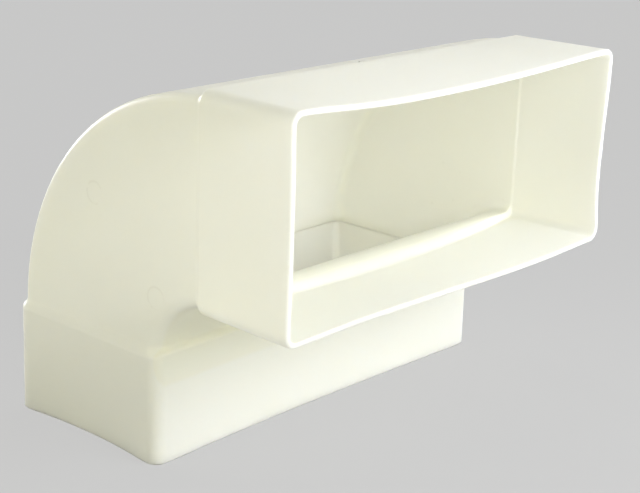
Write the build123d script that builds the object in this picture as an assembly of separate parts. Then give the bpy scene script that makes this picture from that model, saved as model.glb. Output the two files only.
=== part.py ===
import os

from build123d import *

# Flat duct that slides into both sockets, outside sizes in millimetres
duct_width = 220.0
duct_height = 90.0
duct_clearance = 0.5  # between duct and socket, on every side

# Moulding
wall = 2.5
socket_depth = 50.0  # from the mouth to the stop
throat_radius = 28.0  # outside of the wall at the inside of the bend
bend_corner_radius = 3.5  # outside corners of the bend, inside corners of the sockets
throat_corner_radius = 7.0  # the same on the throat side of the bend
shoulder_round = 1.0  # outer edge of a shoulder
shoulder_foot = 1.2  # where a shoulder meets the bend
lip_chamfer = 0.4

# Gate vestige on top of the bend, near the front socket
gate_radius = 1.6
gate_height = 0.7
gate_root = 1.0  # sunk into the wall
gate_angle = 84.0  # round the bend from the lower socket, in degrees

# Soft fall from the throat to the floor of the front socket, longest in the middle
fall_run = 11.0
fall_end_run = 1.0

# Inward bow of the socket walls at the mouths, where the moulding shrank unevenly
bow_start = 2.0  # the walls stay straight this far from the stop
front_top_bow = 3.4
front_bottom_bow = -0.5  # outwards
front_left_bow = 0.5
front_right_bow = 2.0
lower_front_bow = 2.0
lower_back_bow = 2.0
lower_side_bow = 2.8

# Skew of a bow: how much it gains towards one end of its wall and loses towards the other
front_top_skew = 1.0  # gains on the left
front_bottom_skew = 2.5  # gains on the left
front_right_skew = 1.8  # gains at the bottom
lower_front_skew = 0.8  # gains on the left

# Sizes that follow from the duct and the wall
socket_inner_width = duct_width + 2 * duct_clearance
socket_inner_height = duct_height + 2 * duct_clearance
socket_outer_width = socket_inner_width + 2 * wall
socket_outer_height = socket_inner_height + 2 * wall
socket_outer_radius = bend_corner_radius + wall
passage_width = socket_inner_width - 2 * wall
passage_height = socket_inner_height - 2 * wall
bend_radii = [bend_corner_radius] * 2 + [throat_corner_radius] * 2
passage_radii = [radius - wall for radius in bend_radii]
centre_radius = throat_radius + socket_inner_height / 2
outer_radius = throat_radius + socket_inner_height

# Bow and skew of the four sides, counter-clockwise seen from outside the mouth:
# right, top, left, bottom of the front mouth, and right, front, left, back of the lower one
straight_sides = [(0, 0)] * 4
front_sides = [
    (front_right_bow, -front_right_skew),
    (front_top_bow, front_top_skew),
    (front_left_bow, 0),
    (front_bottom_bow, -front_bottom_skew),
]
lower_sides = [
    (lower_side_bow, 0),
    (lower_front_bow, lower_front_skew),
    (lower_side_bow, 0),
    (lower_back_bow, 0),
]


def side(start, end, bow, skew):
    # Straight, or a curve that leaves both corners smoothly and bows inwards between them
    if bow == 0:
        return Line(start, end)
    along = Vector(*end) - Vector(*start)
    inwards = Vector(-along.Y, along.X).normalized()
    middle = Vector(*start) + along / 2
    points = [middle - along / 2]
    for t in (-0.5, 0, 0.5):
        points.append(middle + along * t / 2 + inwards * (bow + skew * t) * (1 - t * t))
    points.append(middle + along / 2)
    return Spline(points, tangents=[along, along])


def outline(width, height, radii, sides):
    # Rectangle with rounded corners, its four sides straight or bowed
    x = width / 2
    y = height / 2
    a, b, c, d = radii
    edges = [
        side((x, d - y), (x, y - a), *sides[0]),
        CenterArc((x - a, y - a), a, 0, 90),
        side((x - a, y), (b - x, y), *sides[1]),
        CenterArc((b - x, y - b), b, 90, 90),
        side((-x, y - b), (-x, c - y), *sides[2]),
        CenterArc((c - x, c - y), c, 180, 90),
        side((c - x, -y), (x - d, -y), *sides[3]),
        CenterArc((x - d, d - y), d, 270, 90),
    ]
    return make_face(edges)


def socket_walls(width, height, radius, sides):
    # From the straight root at the stop to the bowed mouth, which faces +Z
    root = outline(width, height, [radius] * 4, straight_sides)
    mouth = outline(width, height, [radius] * 4, sides)
    straight = extrude(root, bow_start)
    bowed = loft([Pos(0, 0, bow_start) * root, Pos(0, 0, socket_depth) * mouth], ruled=True)
    return straight + bowed


def socket_outside(sides):
    # The shoulder lies one wall thickness behind the stop and is rounded outside
    root = outline(socket_outer_width, socket_outer_height, [socket_outer_radius] * 4, straight_sides)
    shoulder = extrude(root, -wall)
    shoulder = fillet(shoulder.edges().group_by(Axis.Z)[0], shoulder_round)
    return shoulder + socket_walls(socket_outer_width, socket_outer_height, socket_outer_radius, sides)


def socket_inside(sides):
    return socket_walls(socket_inner_width, socket_inner_height, bend_corner_radius, sides)


# Stop planes of the two sockets, mouths along their normals
lower_stop = Plane((0, 0, socket_depth), x_dir=(1, 0, 0), z_dir=(0, 0, -1))
front_stop = Plane((0, -centre_radius, socket_depth + centre_radius), x_dir=(1, 0, 0), z_dir=(0, -1, 0))

# Quarter bend about a level axis in front of the lower socket
bend_axis = Axis((0, -centre_radius, socket_depth), (1, 0, 0))
bend_outline = outline(socket_inner_width, socket_inner_height, bend_radii, straight_sides)
bend_outside = revolve(Pos(0, 0, socket_depth) * bend_outline, bend_axis, 90)
passage_outline = outline(passage_width, passage_height, passage_radii, straight_sides)
passage = revolve(Pos(0, 0, socket_depth) * passage_outline, bend_axis, 90)

lower_outside = lower_stop * socket_outside(lower_sides)
front_outside = front_stop * socket_outside(front_sides)
outside = bend_outside + lower_outside + front_outside
outside = fillet(new_edges(bend_outside, lower_outside, front_outside, combined=outside), shoulder_foot)
inside = passage + lower_stop * socket_inside(lower_sides) + front_stop * socket_inside(front_sides)

# Gate vestige, standing out of the curved wall
bend_centre = Pos(0, -centre_radius, socket_depth)
gate_seat = bend_centre * Rot(gate_angle, 0, 0) * Pos(0, outer_radius - gate_root, 0) * Rot(-90, 0, 0)
gate = gate_seat * extrude(Circle(gate_radius), gate_root + gate_height)


def fall_section(x, run):
    # Slope from the throat at the stop down through the socket floor, its back and foot sunk into the wall
    top = socket_depth + throat_radius + wall
    sunk = 1.0
    slope = (wall + sunk) / wall
    corners = [
        (x, sunk - centre_radius, top - wall - sunk),
        (x, -centre_radius - run * slope, top - wall - sunk),
        (x, -centre_radius, top),
        (x, sunk - centre_radius, top - sunk),
    ]
    return make_face(Polyline(*corners, close=True))


fall_ends = socket_inner_width / 2 + wall / 2
fall_steps = [(-fall_ends, fall_end_run), (0, fall_run), (fall_ends, fall_end_run)]
fall = loft([fall_section(x, run) for x, run in fall_steps])

duct_bend = outside - inside + gate + fall

# Eased lips round both mouths
lips = duct_bend.edges().group_by(Axis.Z)[0] + duct_bend.edges().group_by(Axis.Y)[0]
duct_bend = chamfer(lips, lip_chamfer)

os.makedirs("parts", exist_ok=True)
export_step(duct_bend, "parts/duct_bend.step")
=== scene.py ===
import math

import bmesh
import bpy
import numpy as np
from mathutils import Matrix, Vector


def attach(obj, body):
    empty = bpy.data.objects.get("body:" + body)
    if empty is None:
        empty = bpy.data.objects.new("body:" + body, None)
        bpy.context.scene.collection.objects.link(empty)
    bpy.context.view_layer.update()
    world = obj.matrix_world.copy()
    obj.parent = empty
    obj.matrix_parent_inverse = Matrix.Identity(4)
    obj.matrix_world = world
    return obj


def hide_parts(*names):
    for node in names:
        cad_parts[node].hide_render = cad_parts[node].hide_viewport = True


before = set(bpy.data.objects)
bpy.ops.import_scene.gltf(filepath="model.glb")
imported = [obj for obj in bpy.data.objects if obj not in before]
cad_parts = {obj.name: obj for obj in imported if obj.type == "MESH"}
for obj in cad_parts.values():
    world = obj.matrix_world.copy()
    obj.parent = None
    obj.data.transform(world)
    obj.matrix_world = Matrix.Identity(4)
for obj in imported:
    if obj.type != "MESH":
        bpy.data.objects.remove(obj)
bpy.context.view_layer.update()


class Wire:  # one socket of a node tree; arithmetic on it adds Math nodes
    def __init__(self, tree, socket=None):
        self.tree = tree
        self.socket = socket

    def node(self, kind, settings=None, inputs=None, out=0):  # any node: type, settings, values or links of sockets
        made = self.tree.nodes.new(kind)
        for name, value in (settings or {}).items():
            setattr(made, name, value)
        for name, value in (inputs or {}).items():
            if isinstance(value, Wire):
                self.tree.links.new(value.socket, made.inputs[name])
            else:
                made.inputs[name].default_value = value
        return Wire(self.tree, made.outputs[out] if made.outputs else None)

    def maths(self, operation, first, second=0.0):
        return self.node("ShaderNodeMath", {"operation": operation}, {0: first, 1: second})

    def __add__(self, other): return self.maths("ADD", self, other)
    def __radd__(self, other): return self.maths("ADD", other, self)
    def __sub__(self, other): return self.maths("SUBTRACT", self, other)
    def __rsub__(self, other): return self.maths("SUBTRACT", other, self)
    def __mul__(self, other): return self.maths("MULTIPLY", self, other)
    def __rmul__(self, other): return self.maths("MULTIPLY", other, self)
    def __pow__(self, other): return self.maths("POWER", self, other)
    def __abs__(self): return self.maths("ABSOLUTE", self)
    def __lt__(self, other): return self.maths("LESS_THAN", self, other)
    def __gt__(self, other): return self.maths("GREATER_THAN", self, other)

    def ease(self, low, high):  # 0 below low, 1 above high, smooth between
        return self.node("ShaderNodeMapRange", {"interpolation_type": "SMOOTHSTEP"},
                         {"Value": self, "From Min": low, "From Max": high})

    def blend(self, first, second):  # colour mix by this factor
        return self.node("ShaderNodeMix", {"data_type": "RGBA"}, {0: self, 6: first, 7: second}, 2)


def newTree(name):
    material = bpy.data.materials.new(name)
    material.use_nodes = True
    material.node_tree.nodes.clear()
    return material, Wire(material.node_tree)


def surfaceMesh(name, grid, looped):
    # quads over grid[row, column] of points: every row is a closed ring, and looped joins the last row to the first
    rows, columns = grid.shape[:2]
    low = np.arange(rows * columns).reshape(rows, columns)
    high = np.roll(low, -1, 0)
    if not looped:
        low, high = low[:-1], high[:-1]
    quads = np.stack([low, np.roll(low, -1, 1), np.roll(high, -1, 1), high], -1).reshape(-1, 4)
    points = grid.reshape(-1, 3)
    a, b, c, d = (points[quads[:, k]] for k in range(4))
    volume = np.einsum("ij,ij->i", a, np.cross(b, c) + np.cross(c, d)).sum()
    if volume < 0:  # faces point outwards
        quads = quads[:, ::-1]
    mesh = bpy.data.meshes.new(name)
    mesh.vertices.add(len(points))
    mesh.vertices.foreach_set("co", points.astype(np.float32).ravel())
    mesh.loops.add(quads.size)
    mesh.loops.foreach_set("vertex_index", quads.astype(np.int32).ravel())
    mesh.polygons.add(len(quads))
    mesh.polygons.foreach_set("loop_start", np.arange(0, quads.size, 4, dtype=np.int32))
    mesh.polygons.foreach_set("use_smooth", np.ones(len(quads), dtype=bool))
    mesh.update(calc_edges=True)
    mesh.validate()
    piece = bpy.data.objects.new(name, mesh)
    bpy.context.collection.objects.link(piece)
    return piece


# the moulding, in metres; the sides of a mouth run right, outer, left, throat side, each with its bow and skew
bend = {
    "halfWidth": 0.1105, "halfHeight": 0.0455, "wall": 0.0025, "socketDepth": 0.05,
    "throat": 0.028,  # radius of the outside at the inside of the bend
    "corner": 0.0035, "throatCorner": 0.007, "innerCorner": 0.0075,  # sockets and bend, throat side, passage
    "lowerEdge": 0.0015, "frontEdge": 0.0006, "rimEnd": 38,  # round edge of each shoulder, and where it ends
    "shoulderFoot": 0.0022, "footPower": 1.8,  # how far the shoulder runs out on the bend, and how hollow
    "stopRun": 0.0016, "edgeRound": 0.0003,  # the stop's fall towards the mouth, and its rounding in the passage
    "throatRamp": 0.0110, "sideRun": 0.0018,  # longer fall at the throat, lower shoulder on the short sides
    "frontDraft": 0.0020, "lowerDraft": 0.0004,  # the short sides draw in by this at the stop
    "lipOuter": 0.0010, "lipRound": 0.0005,  # rounding of the lips outside and inside
    "bowStart": 0.002,  # the walls stay straight this far from the stop
    "frontBows": ((0.0020, -0.0018), (0.0034, 0.0010), (0.0005, 0.0), (-0.0005, -0.0025)),
    "lowerBows": ((0.0028, 0.0), (0.0020, 0.0), (0.0028, 0.0), (0.0020, -0.0008)),
    "longSteps": 60, "shortSteps": 28, "cornerSteps": 9, "wallSteps": 24, "bendSteps": 64,
    "lipSteps": 5, "rimSteps": 6, "footSteps": 12, "stopSteps": 19,
    "longGuard": 0.005, "shortGuard": 0.012,  # one more point close to each end of a straight run,
    "lipGuard": 0.0003, "rimGuard": 0.0002,  # so that the shading stays flat up to the rounding
}
bend["radius"] = bend["throat"] + bend["halfHeight"]


def spread(steps, guard):  # -1 to 1 in even steps, with one more point next to each end
    inner = np.linspace(-1 + guard, 1 - guard, steps)
    return np.concatenate([[-1.0], inner, [1.0]])


def sectionRing(form, corners):
    # rounded rectangle of four straight sides and four quarter circles, corners given counter-clockwise;
    # a point is core + radius * outward normal, with the number of its side and its place t from -1 to 1 on it
    i, j, base = form["halfWidth"], form["halfHeight"], form["corner"]
    tall, wide = spread(form["shortSteps"], form["shortGuard"]), spread(form["longSteps"], form["longGuard"])
    quarter = np.linspace(0, math.pi / 2, form["cornerSteps"] + 1)[1:-1]
    signs = ((1, 1), (-1, 1), (-1, -1), (1, -1))
    parts = []
    for k, t in enumerate((tall, wide, tall, wide)):
        turn = k * math.pi / 2
        normal = np.array([math.cos(turn), math.sin(turn)])
        along = np.array([-normal[1], normal[0]])
        half, depth = (j, i) if k % 2 == 0 else (i, j)
        first, last = corners[k - 1], corners[k]
        run = (first - half) + (t + 1) / 2 * (2 * half - first - last)
        core = (depth - base) * normal + np.outer(run, along)
        count = len(t)
        parts.append((core, np.tile(normal, (count, 1)), np.full(count, base), np.full(count, k), t))
        angle = quarter + turn
        spokes = np.stack([np.cos(angle), np.sin(angle)], 1)
        centre = (signs[k][0] * (i - last), signs[k][1] * (j - last))
        count = len(angle)
        parts.append((np.tile(centre, (count, 1)), spokes, np.full(count, last), np.full(count, k), np.ones(count)))
    core, normal, radius, side, t = (np.concatenate(column) for column in zip(*parts))
    return {"core": core, "normal": normal, "radius": radius, "side": side, "t": t}


def bowOf(ring, bows):
    # inward bow of each column at the mouth: (1 - t^2)(1 - t^6)(bow + skew t), none on the corners
    bows = np.array(bows)[ring["side"]]
    t = ring["t"]
    return (1 - t ** 2) * (1 - t ** 6) * (bows[:, 0] + bows[:, 1] * t)


def sectionAt(ring, offset, bow):
    # parallel curve of the ring, offset outwards and bowed inwards: offset has one value a row, bow a row and column
    reach = ring["radius"] + offset[:, None] - bow
    return ring["core"][None] + reach[..., None] * ring["normal"][None]


def arcTurn(centre, radius, start, end, steps):  # points of a circle in the plane of depth and offset
    angle = np.radians(np.linspace(start, end, steps))
    return np.stack([centre[0] + radius * np.cos(angle), centre[1] + radius * np.sin(angle)], 1)


def outerProfile(form, edge):
    # along the outside from the lip to the foot of the shoulder: depth, offset, part of the run, share of the bend;
    # past its rounded edge the shoulder falls to the bend with a power of the way left
    wall, lip = form["wall"], form["lipOuter"]
    shoulder = form["socketDepth"] + wall
    end = shoulder + form["shoulderFoot"]
    depth = np.linspace(lip, shoulder - edge, form["wallSteps"] + 2)[1:-1]
    rim = arcTurn((shoulder - edge, wall - edge), edge, 90, form["rimEnd"], form["rimSteps"])
    left = np.linspace(1, 0, form["footSteps"])[1:, None]
    profile = np.concatenate([
        arcTurn((lip, wall - lip), lip, 180, 90, form["lipSteps"]),
        [[lip + form["lipGuard"], wall]],
        np.stack([depth, np.full_like(depth, wall)], 1),
        [[shoulder - edge - form["rimGuard"], wall]],
        rim,
        np.concatenate([end - left * (end - rim[-1, 0]), rim[-1, 1] * left ** form["footPower"]], 1),
    ])
    share = np.where(profile[:, 0] > lip, 1 - profile[:, 1] / wall, 0)
    part = np.clip(profile[:, 0] / shoulder, 0, 1) * (1 - share)
    return np.stack([profile[:, 0], profile[:, 1], part, share], 1)


def innerProfile(form):
    # along the inside from the stop to the lip: depth, offset, part of the run, share of the bend;
    # with q from 0 to 1 the stop falls to the wall of the socket by 4 q^3 - 3 q^4
    lip, edge, stop, run = form["lipRound"], form["edgeRound"], form["socketDepth"], form["stopRun"]
    q = np.linspace(0, 1, form["stopSteps"])
    fall = 4 * q ** 3 - 3 * q ** 4
    ramp = np.stack([stop + edge - (run + edge) * q, (fall - 1) * form["wall"], q, 1 - fall], 1)
    depth = np.linspace(stop - run, lip, form["wallSteps"] + 2)[1:-1]
    none = np.zeros_like(depth)
    sides = np.stack([depth, none, (depth - lip) / (stop - run - lip), none], 1)
    mouth = np.pad(arcTurn((lip, lip), lip, 270, 180, form["lipSteps"]), ((0, 0), (0, 2)))
    return np.concatenate([ramp, sides, [[lip + form["lipGuard"], 0.0, 0.0, 0.0]], mouth])


def socketRows(form, rings, profile, bows, draft, run):
    # width, height and depth of the rows of one skin of a socket: its section, bowed more towards the mouth, mixed
    # with the bend's section by the share; run brings the stop or shoulder of a column nearer to the mouth,
    # the draft draws the short sides in towards the stop, and past the stop the foot follows the turn of the bend
    ring, bendRing = rings
    share = profile[:, 3:]
    straight = form["socketDepth"] - form["bowStart"]
    fade = np.clip((straight - profile[:, 0]) / straight, 0, 1)
    depth = profile[:, :1] - profile[:, 2:3] * run
    section = sectionAt(ring, profile[:, 1], np.outer(fade, bowOf(ring, bows)))
    bendSection = sectionAt(bendRing, profile[:, 1], np.zeros((len(profile), 1)))
    section = section + share[..., None] * (bendSection - section)
    drawn = draft / form["halfWidth"] * np.clip(profile[:, :1] / form["socketDepth"], 0, 1) * (1 - share)
    past = np.clip(profile[:, :1] - form["socketDepth"], 0, None)
    reach = form["radius"] + section[..., 1]
    height = section[..., 1] + share * (np.sqrt(reach ** 2 - past ** 2) - reach)
    return section[..., 0] * (1 - drawn), height, depth


def lowerPlace(rows):  # mouth on the floor
    return np.stack(rows, -1)


def frontPlace(form, rows):  # mouth facing -Y
    x, h, depth = rows
    mouth = form["radius"] + form["socketDepth"]
    return np.stack([x, depth - mouth, h + mouth], -1)


def bendRows(form, ring, offset, start, steps):
    # the section turned about the bend's axis, from start above the lower stop to start behind the front one
    section = sectionAt(ring, np.full(steps, offset), np.zeros((steps, 1)))
    x, radius = section[..., 0], section[..., 1] + form["radius"]
    first = np.arcsin(start / radius)
    share = np.linspace(0, 1, steps + 2)[1:-1, None]
    angle = first + share * (math.pi / 2 - 2 * first)
    y, z = radius * np.cos(angle) - form["radius"], radius * np.sin(angle) + form["socketDepth"]
    return np.stack([x, y, z], -1)


def makeBend(form):
    # one closed skin: up the outside from the lower lip to the front lip, and back down the inside
    corner, throat, inside = form["corner"], form["throatCorner"], form["innerCorner"]
    ring = sectionRing(form, (corner, corner, corner, corner))
    outerRing = sectionRing(form, (corner, corner, throat, throat))
    innerRing = sectionRing(form, (inside, inside, throat, throat))
    outer, inner = (ring, outerRing), (ring, innerRing)
    lowerOuter, frontOuter = outerProfile(form, form["lowerEdge"]), outerProfile(form, form["frontEdge"])
    skin = innerProfile(form)
    lower, front = (form["lowerBows"], form["lowerDraft"]), (form["frontBows"], form["frontDraft"])
    level = np.zeros(len(ring["t"]))
    sideRun = form["sideRun"] * ring["normal"][:, 0] ** 2  # the lower shoulder on the short sides
    throatRun = form["throatRamp"] * (1 - ring["t"] ** 2) * (ring["side"] == 3)  # the soft fall from the throat
    blocks = [
        lowerPlace(socketRows(form, outer, lowerOuter, *lower, sideRun)),
        bendRows(form, outerRing, 0.0, form["wall"] + form["shoulderFoot"], form["bendSteps"]),
        frontPlace(form, socketRows(form, outer, frontOuter, *front, level))[::-1],
        frontPlace(form, socketRows(form, inner, skin, *front, throatRun))[::-1],
        bendRows(form, innerRing, -form["wall"], form["edgeRound"], form["bendSteps"])[::-1],
        lowerPlace(socketRows(form, inner, skin, *lower, level)),
    ]
    return np.concatenate(blocks)


ductBend = surfaceMesh("ductBend", makeBend(bend), True)
print("bend made,", len(ductBend.data.polygons), "faces")


# the gate vestige: a small stub broken off level, on top of the bend near the front socket
gate = {
    "radius": 0.0016, "height": 0.0007, "root": 0.0006, "fillet": 0.00012,
    "dish": 0.00025, "tilt": 0.22, "tiltTurn": 0.7,  # the broken top: hollow, slope and where it faces
    "angle": 84.0, "around": 28,  # degrees round the bend from the lower socket, points round the stub
    "shares": (0, 1.25, 1.25, 1.08, 1, 0.95, 0.82, 0.6, 0.3, 0),  # of the radius, from the root to the top
}


def makeGate(form, duct):
    # profile of radius and height turned about the wall's normal; the top is dished and tilts with cos of the turn
    r, h, root, dish = (form[k] for k in ("radius", "height", "root", "dish"))
    radii = r * np.array(form["shares"])[:, None]
    rise = np.array([-root, -root, 0, form["fillet"], 0.6 * h, 0.95 * h, h, h - 0.5 * dish, h - dish, h - dish])
    turn = np.linspace(0, 2 * math.pi, form["around"], endpoint=False)
    lean = 1 + form["tilt"] * np.outer(rise > 0.5 * h, np.cos(turn + form["tiltTurn"])) * (radii / r)
    x, y = radii * np.cos(turn), radii * np.sin(turn)
    a = math.radians(form["angle"])
    reach = duct["radius"] + duct["halfHeight"] + rise[:, None] * lean
    return np.stack([x, reach * math.cos(a) - y * math.sin(a) - duct["radius"],
                     reach * math.sin(a) + y * math.cos(a) + duct["socketDepth"]], -1)


gateVestige = surfaceMesh("gateVestige", makeGate(gate, bend), False)
merged = bmesh.new()  # the points at the two poles become one each
merged.from_mesh(gateVestige.data)
bmesh.ops.remove_doubles(merged, verts=merged.verts, dist=1e-7)
merged.to_mesh(gateVestige.data)
merged.free()
print("gate vestige made,", len(gateVestige.data.polygons), "faces")


# cream moulded plastic, satin, with painted shade in the throat and along the front socket's step; colours are
# linear, lengths in metres, marks are places y and z on a side wall
plastic = {
    "cream": (0.968, 0.962, 0.825, 1), "warm": (0.953, 0.942, 0.79, 1),
    "warmRange": (0.35, 0.75), "warmShare": 0.35,  # clouds of the warmer tint
    "throat": (0.965, 0.945, 0.77, 1), "throatShadeFade": 0.0012,  # painted shade: yellower and a little darker on the outside of the throat, the hollow under the front socket
    "depth": 0.0075, "depthTint": (1.0, 0.97, 0.9), "ior": 1.5,  # how far light goes into the plastic
    "roughness": 0.42, "roughCloud": 0.12, "roughGrain": 0.1,
    "noises": ((16.0, 3.0), (150.0, 2.0), (700.0, 2.0), (3500.0, 2.0)),  # scale, detail: cloud, patch, peel, grain
    "bump": 0.000006, "peelShare": 0.7, "grainShare": 0.3, "pinDent": 3.0, "stepGroove": 6.0,
    # one colour for the real pin rings and specks and for the painted shade of the step line
    "markAndShade": (0.74, 0.71, 0.58, 1), "pinShare": 0.22, "spotShare": 0.10, "stepShadeShare": 0.09,
    "leftPins": ((-0.0058, 0.1157), (-0.0451, 0.0773)), "leftWall": -0.108,  # rings of the ejector pins
    "pinRadius": 0.005, "pinEdge": (0.0001, 0.0008), "pinGaps": (0.42, 0.6),
    "rightSpots": ((-0.0293, 0.0974), (-0.0407, 0.0947), (-0.0373, 0.0787), (-0.0691, 0.0855), (-0.0235, 0.0741)),
    "rightWall": 0.106, "spotEdge": (0.00033, 0.0011), "spotWander": 0.0012,  # specks on the inner wall
    "stepShadeY": -0.0714, "stepShadeEdge": (0.0001, 0.0005),  # painted shade: a faint dark line on the side walls at the step where the front socket begins, also dented as a small groove
    "stepShadeWall": 0.1103, "stepShadeFoot": 0.078, "stepShadeTop": 0.169,
}


def makePlastic(look, form):
    material, kit = newTree("creamPlastic")
    place = kit.node("ShaderNodeTexCoord", out="Object")
    axes = kit.node("ShaderNodeSeparateXYZ", None, {0: place}).socket.node.outputs
    x, y, z = (Wire(kit.tree, axis) for axis in axes)
    cloud, patch, peel, grain = (
        kit.node("ShaderNodeTexNoise", None, {"Vector": place, "Scale": scale, "Detail": detail})
        for scale, detail in look["noises"])

    def farFrom(spot):  # distance from a place, seen from the side
        return ((y - spot[0]) ** 2.0 + (z - spot[1]) ** 2.0) ** 0.5

    pins = [1 - abs(farFrom(pin) - look["pinRadius"]).ease(*look["pinEdge"]) for pin in look["leftPins"]]
    pin = sum(pins[1:], pins[0]) * (x < look["leftWall"]) * patch.ease(*look["pinGaps"])
    wander = (patch - 0.5) * look["spotWander"]
    spots = [1 - (farFrom(spot) + wander).ease(*look["spotEdge"]) for spot in look["rightSpots"]]
    spot = sum(spots[1:], spots[0]) * (x > look["rightWall"])
    # painted shade: a thin dark line along the step where the front socket begins; it also dents the surface as a
    # small groove
    stepShade = 1 - abs(y - look["stepShadeY"]).ease(*look["stepShadeEdge"])
    stepShade = stepShade * (abs(x) > look["stepShadeWall"]) * (z > look["stepShadeFoot"]) * (z < look["stepShadeTop"])
    axis = (-form["radius"], form["socketDepth"])  # the bend turns about this line
    # painted shade: 1 on the outside of the throat, the hollow under the front socket that lies in shade
    throat = 1 - farFrom(axis).ease(form["throat"], form["throat"] + look["throatShadeFade"])
    colour = (cloud.ease(*look["warmRange"]) * look["warmShare"]).blend(look["cream"], look["warm"])
    # the throat's painted shade tints the colour yellower and darker there
    colour = throat.blend(colour, look["throat"])
    # pin rings and specks are real marks; the step line's share is painted shade
    markedAndShaded = pin * look["pinShare"] + spot * look["spotShare"] + stepShade * look["stepShadeShare"]
    colour = markedAndShaded.blend(colour, look["markAndShade"])
    height = peel * look["peelShare"] + grain * look["grainShare"] - pin * look["pinDent"] - stepShade * look["stepGroove"]
    bump = kit.node("ShaderNodeBump", None, {"Strength": 1.0, "Distance": look["bump"], "Height": height})
    rough = look["roughness"] + (cloud - 0.5) * look["roughCloud"] + (grain - 0.5) * look["roughGrain"]
    shader = kit.node("ShaderNodeBsdfPrincipled", None, {
        "Base Color": colour, "Roughness": rough, "Normal": bump, "IOR": look["ior"],
        "Subsurface Weight": 1.0, "Subsurface Radius": look["depthTint"], "Subsurface Scale": look["depth"]})
    kit.node("ShaderNodeOutputMaterial", None, {"Surface": shader})
    return material


creamPlastic = makePlastic(plastic, bend)
for piece in (ductBend, gateVestige):
    piece.data.materials.append(creamPlastic)
    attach(piece, "root")
    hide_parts("duct_bend")
print("plastic made")


# the floor: half its size, its even grey to the camera, its grey in the light, and the share of that which shows
floorLook = {"size": 8.0, "seen": (0.632, 0.632, 0.632, 1), "grey": (0.46, 0.46, 0.46, 1), "shadow": 0.15}


def seenPath(kit):  # 1 for what the camera sees directly, in a reflection or through something
    names = ("Is Camera Ray", "Is Glossy Ray", "Is Transmission Ray")
    rays = [kit.node("ShaderNodeLightPath", out=name) for name in names]
    return kit.maths("MAXIMUM", rays[0], kit.maths("MAXIMUM", rays[1], rays[2]))


def makeFloor(look):
    # to the camera the floor is mostly its even grey, with a share of the lit floor that holds the shadow
    e = look["size"]
    mesh = bpy.data.meshes.new("floor")
    mesh.from_pydata([(-e, -e, 0), (e, -e, 0), (e, e, 0), (-e, e, 0)], [], [(0, 1, 2, 3)])
    floor = bpy.data.objects.new("floor", mesh)
    bpy.context.collection.objects.link(floor)
    material, kit = newTree("paleFloor")
    lit = kit.node("ShaderNodeBsdfDiffuse", None, {"Color": look["grey"]})
    even = kit.node("ShaderNodeEmission", None, {"Color": look["seen"], "Strength": 1.0})
    shader = kit.node("ShaderNodeMixShader", None, {0: seenPath(kit) * (1 - look["shadow"]), 1: lit, 2: even})
    kit.node("ShaderNodeOutputMaterial", None, {"Surface": shader})
    mesh.materials.append(material)


# soft boxes: target, azimuth from the front towards the left, elevation, distance, diameter, watts and tint
light = {
    "sky": 0.05, "skyTint": (1.0, 1.0, 0.95, 1), "backdrop": (0.604, 0.604, 0.604, 1),
    "middle": (0.0, -0.04, 0.085), "mouth": (0.0, -0.12, 0.12), "upper": (-0.1, -0.05, 0.14),
    "warm": (1.0, 0.98, 0.81), "cool": (0.98, 1.0, 1.05), "plain": (1.0, 1.0, 1.0),
    "boxes": (
        ("mouthBox", "mouth", -22, 20, 0.45, 0.25, 2.10, "cool"),
        ("mouthHighBox", "mouth", 0, 40, 0.45, 0.25, 0.54, "cool"),
        ("mouthLeftBox", "mouth", 50, 20, 0.45, 0.25, 0.17, "warm"),
        ("upperLeftBox", "upper", 100, 15, 0.45, 0.3, 0.97, "warm"),
        ("frontBox", "middle", -10, 10, 1.6, 0.8, 4.2, "warm"),
        ("cornerBox", "middle", 30, 15, 1.6, 1.0, 4.2, "warm"),
        ("rightHighBox", "middle", -60, 45, 1.6, 1.0, 2.7, "warm"),
        ("backHighBox", "middle", -130, 45, 1.6, 1.0, 4.4, "warm"),
        ("backBox", "middle", 180, 8, 4.0, 1.2, 82.0, "plain"),  # these two shine through the hidden walls
        ("rightBox", "middle", -100, 8, 4.0, 1.2, 80.0, "plain"),
    ),
}


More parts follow.
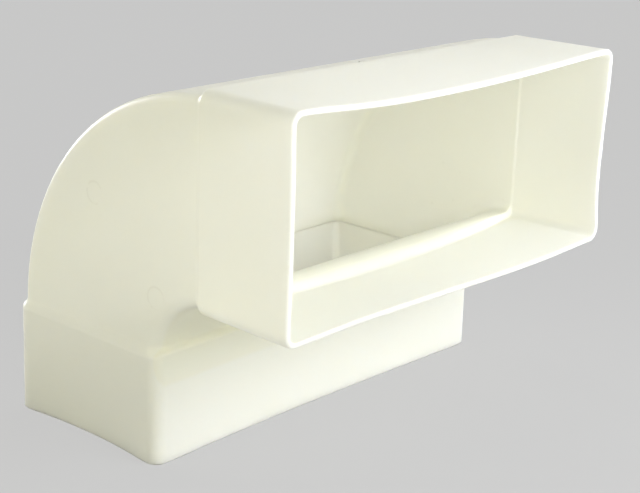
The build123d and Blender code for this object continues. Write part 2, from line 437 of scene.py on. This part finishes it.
def makeLight(look):
    # even backdrop to the camera, dim sky on the object; a box stands at its target plus distance times direction
    world = bpy.data.worlds.new("studio")
    world.use_nodes = True
    world.node_tree.nodes.clear()
    kit = Wire(world.node_tree)
    sky = kit.node("ShaderNodeBackground", None, {"Color": look["skyTint"], "Strength": look["sky"]})
    back = kit.node("ShaderNodeBackground", None, {"Color": look["backdrop"], "Strength": 1.0})
    mixed = kit.node("ShaderNodeMixShader", None, {0: seenPath(kit), 1: sky, 2: back})
    kit.node("ShaderNodeOutputWorld", None, {"Surface": mixed})
    bpy.context.scene.world = world
    for name, target, azimuth, elevation, distance, diameter, watts, tint in look["boxes"]:
        a, b = math.radians(azimuth), math.radians(elevation)
        towards = Vector((-math.sin(a) * math.cos(b), -math.cos(a) * math.cos(b), math.sin(b)))
        lamp = bpy.data.lights.new(name, "AREA")
        lamp.shape = "DISK"
        lamp.size = diameter
        lamp.energy = watts
        lamp.color = look[tint]
        holder = bpy.data.objects.new(name, lamp)
        holder.location = Vector(look[target]) + distance * towards
        holder.rotation_euler = towards.to_track_quat("Z", "Y").to_euler()
        holder.visible_camera = False
        bpy.context.collection.objects.link(holder)


# the camera: place in metres, angles in degrees, lens and sensor in millimetres
shot = {
    "place": (-0.5221, -0.4998, 0.2929), "azimuth": -48.61, "elevation": 17.31, "roll": 2.03,
    "lens": 85.59, "sensor": 36.0, "nearest": 0.01,
}


def makeCamera(look):
    # right, up and back axes from the azimuth, the elevation and a small roll
    a, b, c = (math.radians(look[k]) for k in ("azimuth", "elevation", "roll"))
    ahead = np.array([-math.sin(a) * math.cos(b), math.cos(a) * math.cos(b), -math.sin(b)])
    level = np.array([math.cos(a), math.sin(a), 0.0])
    rise = np.cross(level, ahead)
    right = math.cos(c) * level + math.sin(c) * rise
    up = math.cos(c) * rise - math.sin(c) * level
    lens = bpy.data.cameras.new("shot")
    lens.lens = look["lens"]
    lens.sensor_width = look["sensor"]
    lens.sensor_fit = "HORIZONTAL"
    lens.clip_start = look["nearest"]
    camera = bpy.data.objects.new("shot", lens)
    turn = np.eye(4)
    turn[:3, :4] = np.stack([right, up, -ahead, np.array(look["place"])], 1)
    camera.matrix_world = Matrix(turn.tolist())
    bpy.context.collection.objects.link(camera)
    bpy.context.scene.camera = camera


makeFloor(floorLook)
makeLight(light)
makeCamera(shot)
bpy.context.scene.view_settings.view_transform = "Standard"
print("floor, light and camera made")
